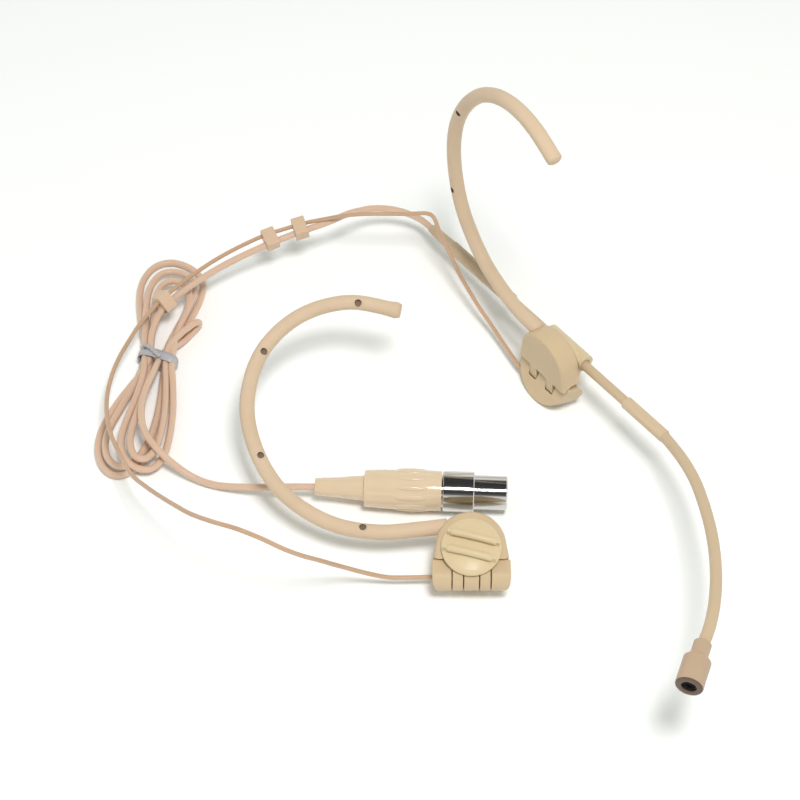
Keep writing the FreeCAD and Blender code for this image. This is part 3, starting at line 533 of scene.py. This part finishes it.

# Control points of the centre line from the rear clip through the tied hank to the plug,
# picked along the strands and brought into millimetres with the camera's geometry.
HANK = [
    (-29.6, 78.7, 14.1), (-33.6, 77.2, 13.5), (-38.6, 75.2, 12.7), (-49.0, 70.0, 11.3),
    (-58.5, 63.5, 10.0), (-66.3, 56.9, 8.7), (-69.4, 53.0, 7.6),
    (-71.0, 48.6, 6.2), (-71.5, 44.6, 5.0), (-71.4, 40.0, 3.9),
    (-72.4, 35.7, 3.2), (-75.6, 31.5, 2.0), (-80.0, 24.5, 1.2), (-83.3, 16.3, 1.1),
    (-84.3, 9.2, 1.1), (-82.8, 2.9, 1.1), (-79.7, -0.8, 1.1), (-76.1, -1.2, 1.1),
    (-72.1, 1.9, 1.1), (-68.8, 8.9, 1.1), (-66.7, 18.4, 1.1), (-65.7, 28.4, 1.3),
    (-65.4, 36.8, 1.9),
    (-65.5, 42.0, 1.9), (-64.2, 48.4, 1.5), (-60.9, 56.1, 1.1), (-58.4, 63.9, 1.1),
    (-57.9, 69.9, 1.1), (-60.3, 74.7, 1.1), (-65.1, 77.9, 1.2), (-69.7, 78.6, 1.3),
    (-74.0, 76.2, 1.3), (-76.6, 70.9, 1.3), (-76.9, 63.7, 1.4), (-75.5, 54.5, 1.6),
    (-73.6, 45.4, 1.9),
    (-73.1, 39.8, 1.9), (-74.7, 31.8, 2.6), (-78.1, 21.9, 3.1), (-81.1, 14.1, 3.1),
    (-81.9, 7.7, 3.1), (-80.3, 2.5, 3.1), (-76.8, 0.1, 3.1), (-73.0, 1.8, 3.1),
    (-69.9, 7.8, 3.0), (-67.9, 17.3, 2.6), (-67.3, 27.8, 2.1), (-67.3, 36.8, 1.9),
    (-67.3, 43.5, 1.9), (-65.3, 49.0, 2.6), (-62.0, 57.1, 3.1), (-60.1, 64.2, 3.1),
    (-60.8, 69.7, 3.1), (-64.2, 72.5, 3.1), (-68.5, 73.3, 3.1), (-72.0, 71.3, 3.1),
    (-73.9, 66.1, 3.2), (-74.2, 58.3, 3.5), (-73.7, 49.5, 3.9),
    (-73.0, 40.4, 3.9), (-72.5, 31.8, 4.4), (-74.7, 20.9, 4.9), (-76.8, 12.7, 4.9),
    (-77.1, 6.5, 4.8), (-75.4, 2.0, 4.3), (-72.0, -0.3, 3.2), (-68.2, -0.4, 2.8),
    (-65.3, 2.6, 3.0), (-63.8, 9.2, 3.4), (-63.3, 18.6, 3.7), (-64.0, 28.5, 3.9),
    (-65.2, 37.4, 3.9),
    (-65.1, 43.9, 4.2), (-63.2, 50.9, 4.9), (-61.1, 59.0, 5.0), (-61.7, 64.5, 5.0),
    (-64.9, 67.6, 5.0), (-68.5, 67.6, 5.0), (-71.0, 64.7, 4.8), (-71.5, 58.7, 4.0),
    (-71.7, 51.3, 2.6), (-71.8, 44.7, 1.9),
    (-71.6, 38.8, 2.2), (-71.8, 29.1, 3.6), (-73.2, 18.0, 5.4), (-74.3, 10.6, 6.2),
    (-74.2, 5.4, 6.4), (-72.4, 1.4, 6.2), (-69.3, 1.0, 5.7), (-67.2, 4.4, 5.3),
    (-66.0, 10.6, 5.0),
    (-65.5, 18.6, 4.6), (-66.0, 28.3, 4.2), (-66.9, 36.7, 3.9),
    (-66.6, 42.4, 4.3), (-64.4, 45.4, 5.0), (-62.1, 48.0, 5.3), (-60.1, 50.2, 5.3),
    (-58.6, 51.8, 4.8), (-57.9, 52.8, 3.3), (-58.8, 52.4, 1.7), (-60.5, 50.4, 1.1),
    (-62.5, 47.4, 1.2), (-65.2, 44.0, 2.4), (-68.0, 41.2, 3.6),
    (-69.0, 36.6, 4.6), (-69.8, 31.0, 6.2), (-71.2, 24.5, 7.6),
    (-71.9, 17.6, 8.3), (-71.1, 11.0, 8.4), (-68.6, 6.0, 7.8), (-64.9, 2.4, 6.2),
    (-60.0, -0.6, 3.4), (-55.4, -2.7, 1.5), (-49.9, -4.8, 1.5),
    (-43.1, -6.5, 3.2), (-36.9, -7.7, 4.8), (-30.5, -8.1, 5.6),
    (-25.6, -8.1, 5.65), (-19.0, -8.2, 5.65),
]
cable = nurbs("cable", HANK)
cable.data.bevel_depth = CABLE_RADIUS * MM
cable.data.bevel_resolution = 6
cable.data.use_fill_caps = True
cable.data.materials.append(MATERIALS["cable_jacket"])
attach(cable, "headband")
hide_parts("cable_lead", "cable_hank", "cable_tail")

LEAD = [
    boom(-58.6), boom(-61.5), boom(-64.9), boom(-67.1), Vector((7.5, 90.0, 7.8)),
    Vector((5.5, 91.2, 8.05)), Vector((3.4, 92.0, 8.4)), Vector((1.1, 92.5, 9.0)),
    Vector((-1.2, 92.6, 9.6)), Vector((-3.5, 92.4, 10.2)), Vector((-5.7, 91.9, 10.9)),
    Vector((-7.9, 91.1, 11.6)), Vector((-10.5, 89.5, 12.6)), Vector((-14.6, 86.8, 14.0)),
    Vector((-20.9, 82.0, 14.9)), Vector((-27.6, 79.35, 14.5)), Vector((-29.8, 78.6, 14.1)),
]
lead_line = route(LEAD)


def nearest(place):
    """Index of the sample of the lead nearest to a point."""
    return min(range(len(lead_line)), key=lambda index: (lead_line[index] - place).length)


slide_end = nearest(boom(-66.4))
middle = nearest(Vector((-3.5, 92.4, 10.2)))


def lead_piece(name, start, stop):
    """One stretch of the lead, free of any body."""
    mesh = tube(name, lead_line[start:stop + 1], plain(CABLE_RADIUS), 24)
    return add_object(name, mesh, "cable_jacket", None)


lead_in_boom = lead_piece("cable_lead_in_boom", 0, slide_end)
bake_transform(lead_in_boom)
lead_behind_boom = lead_piece("cable_lead_behind_boom", slide_end, middle)
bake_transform(lead_behind_boom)
lead_to_clip = lead_piece("cable_lead_to_clip", middle, len(lead_line) - 1)
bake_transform(lead_to_clip)


# ---------------------------------------------------------------- cable tie

TIE_TURN = math.radians(22)
TIE_ACROSS = Vector((math.cos(TIE_TURN), -math.sin(TIE_TURN), 0))
TIE_ALONG = Vector((math.sin(TIE_TURN), math.cos(TIE_TURN), 0))
TIE_CENTRE = Vector((-69.2, 38.9, 2.95))
TIE_HALF_WIDTH = 5.5
TIE_HALF_HEIGHT = 2.45
TIE_STEPS = 96
TIE_SQUARENESS = 0.62


def squared(value):
    """Sine or cosine pushed outward, so that the band is a rounded rectangle."""
    return math.copysign(abs(value) ** TIE_SQUARENESS, value)


def tie_point(across, up, beside=0.0):
    """Point of the tie: across the cable bundle, upward and along the bundle."""
    return TIE_CENTRE + TIE_ACROSS * across + Vector((0, 0, up)) + TIE_ALONG * beside


def tie_band():
    """Flat band with a wire core, bent round the cables and slightly skewed."""
    mesh = bpy.data.meshes.new("tie_band")
    build = bmesh.new()
    rings = []
    profile = [(-1.55, 0.0), (-1.45, 0.22), (-0.75, 0.22), (-0.45, 0.5), (0.0, 0.6),
               (0.45, 0.5), (0.75, 0.22), (1.45, 0.22), (1.55, 0.0), (0.0, -0.12)]
    for step in range(TIE_STEPS):
        angle = 2 * math.pi * step / TIE_STEPS
        flat_x = squared(math.cos(angle))
        flat_z = squared(math.sin(angle))
        base = (flat_x * TIE_HALF_WIDTH, flat_z * TIE_HALF_HEIGHT)
        outward = Vector((flat_x / TIE_HALF_WIDTH, flat_z / TIE_HALF_HEIGHT)).normalized()
        skew = 0.5 * math.sin(angle + 0.8)
        rings.append([build.verts.new(tie_point(base[0] + outward.x * lift,
                                                base[1] + outward.y * lift,
                                                beside + skew) * MM)
                      for beside, lift in profile])
    count = len(profile)
    for step in range(TIE_STEPS):
        here, there = rings[step], rings[(step + 1) % TIE_STEPS]
        for index in range(count):
            following = (index + 1) % count
            build.faces.new((here[index], there[index], there[following], here[following]))
    bmesh.ops.recalc_face_normals(build, faces=build.faces)
    build.to_mesh(mesh)
    build.free()
    return mesh


tie = add_object("tie_band", tie_band(), "tie_plastic", "headband")
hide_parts("cable_tie")
twist_line = spline([tie_point(-5.4, 1.6, 1.0), tie_point(-5.0, 2.7, 1.6),
                     tie_point(-3.4, 3.35, 1.2), tie_point(-1.0, 3.4, 0.2),
                     tie_point(1.4, 3.35, -0.9)], 0.15)


def twisted(start, end):
    """Two wires twisted together, seen as a rope-like swelling."""
    return 0.62 + 0.12 * math.sin(start * 4.2) - 0.25 * max(0.0, 1 - end / 0.5)


tie_end = add_object("tie_twisted_end", tube("tie_twisted_end", twist_line, twisted, 16),
                     "tie_plastic", "headband")


# ---------------------------------------------------------------- plug ribs

PLUG_START = Vector((-22.3, -8.0, 5.65))
PLUG_WAY = Vector((52.6, -2.3, 0)).normalized()
RIBS = 12
RIB_HALF_SIZES = Vector((0.52, 0.9, 4.6, 1.0))
RIB_RADIUS = 5.42
RIB_STATION = 26.6


def plug_ribs():
    """Ring of long oval grip ribs on the front half of the plug body."""
    mesh = bpy.data.meshes.new("plug_ribs")
    build = bmesh.new()
    turn = PLUG_WAY.to_track_quat("Z", "Y").to_matrix().to_4x4()
    for number in range(RIBS):
        around = Matrix.Rotation(2 * math.pi * number / RIBS, 4, "Z")
        seat = Matrix.Translation(Vector((RIB_RADIUS, 0, RIB_STATION)))
        shape = Matrix.Diagonal(RIB_HALF_SIZES)
        place = Matrix.Scale(MM, 4) @ Matrix.Translation(PLUG_START) @ turn
        bmesh.ops.create_uvsphere(build, u_segments=20, v_segments=14, radius=1.0,
                                  matrix=place @ around @ seat @ shape)
    build.to_mesh(mesh)
    build.free()
    return mesh


add_object("plug_ribs", plug_ribs(), "plug_plastic", "headband")



# ---------------------------------------------------------------- table top and light

bpy.ops.mesh.primitive_plane_add(size=6.0, location=(0, 0, 0))
floor = bpy.context.object
floor.name = "table_top"
floor_material = bpy.data.materials.new("table_top")
floor_material.use_nodes = True
floor_tree = floor_material.node_tree
floor_shader = floor_tree.nodes["Principled BSDF"]
floor_shader.inputs["Base Color"].default_value = (0.955, 0.96, 0.95, 1)
floor_shader.inputs["Roughness"].default_value = 0.6
floor_shader.inputs["Specular IOR Level"].default_value = 0.2
floor.data.materials.append(floor_material)


def area_light(name, place, target, size, power, tint, glossy=True):
    """Soft square lamp aimed at a point."""
    data = bpy.data.lights.new(name, "AREA")
    data.shape = "SQUARE"
    data.size = size
    data.energy = power
    data.color = tint
    lamp = bpy.data.objects.new(name, data)
    lamp.location = place
    aim = Vector(target) - Vector(place)
    lamp.rotation_euler = aim.to_track_quat("-Z", "Y").to_euler()
    lamp.visible_glossy = glossy
    scene.collection.objects.link(lamp)


area_light("overhead", (0.12, -0.22, 0.75), (0.0, 0.02, 0.0), 0.20, 3.55, (1.0, 0.985, 0.985),
           glossy=False)
area_light("sparkle", (0.05, -0.25, 0.70), (0.0, 0.02, 0.0), 0.11, 0.7, (1.0, 1.0, 1.0))
area_light("left_fill", (-0.7, 0.1, 0.5), (0.0, 0.0, 0.0), 0.6, 0.7, (0.97, 0.99, 1.0))

world = bpy.data.worlds.new("studio")
world.use_nodes = True
scene.world = world
sky = world.node_tree
backdrop = sky.nodes["Background"]
coordinate = node_of(sky, "ShaderNodeTexCoord")
split = node_of(sky, "ShaderNodeSeparateXYZ")
bands = node_of(sky, "ShaderNodeValToRGB")
sky.links.new(coordinate.outputs["Generated"], split.inputs["Vector"])
sky.links.new(split.outputs["Z"], bands.inputs["Fac"])
bands.color_ramp.elements[0].position = 0.0
bands.color_ramp.elements[0].color = (0.85, 0.87, 0.86, 1)
bands.color_ramp.elements[1].position = 1.0
bands.color_ramp.elements[1].color = (0.05, 0.05, 0.055, 1)
for position, tone in ((0.30, 1.0), (0.46, 0.95), (0.58, 0.16), (0.75, 0.05)):
    element = bands.color_ramp.elements.new(position)
    element.color = (tone, tone, tone, 1)
path = node_of(sky, "ShaderNodeLightPath")
mirror = node_of(sky, "ShaderNodeBackground")
mirror.inputs["Strength"].default_value = 1.0
backdrop.inputs["Color"].default_value = (0.955, 1.0, 0.945, 1)
backdrop.inputs["Strength"].default_value = 0.50
sky.links.new(bands.outputs["Color"], mirror.inputs["Color"])
blend_sky = node_of(sky, "ShaderNodeMixShader")
sky.links.new(path.outputs["Is Glossy Ray"], blend_sky.inputs["Fac"])
sky.links.new(backdrop.outputs["Background"], blend_sky.inputs[1])
sky.links.new(mirror.outputs["Background"], blend_sky.inputs[2])
sky.links.new(blend_sky.outputs["Shader"], sky.nodes["World Output"].inputs["Surface"])
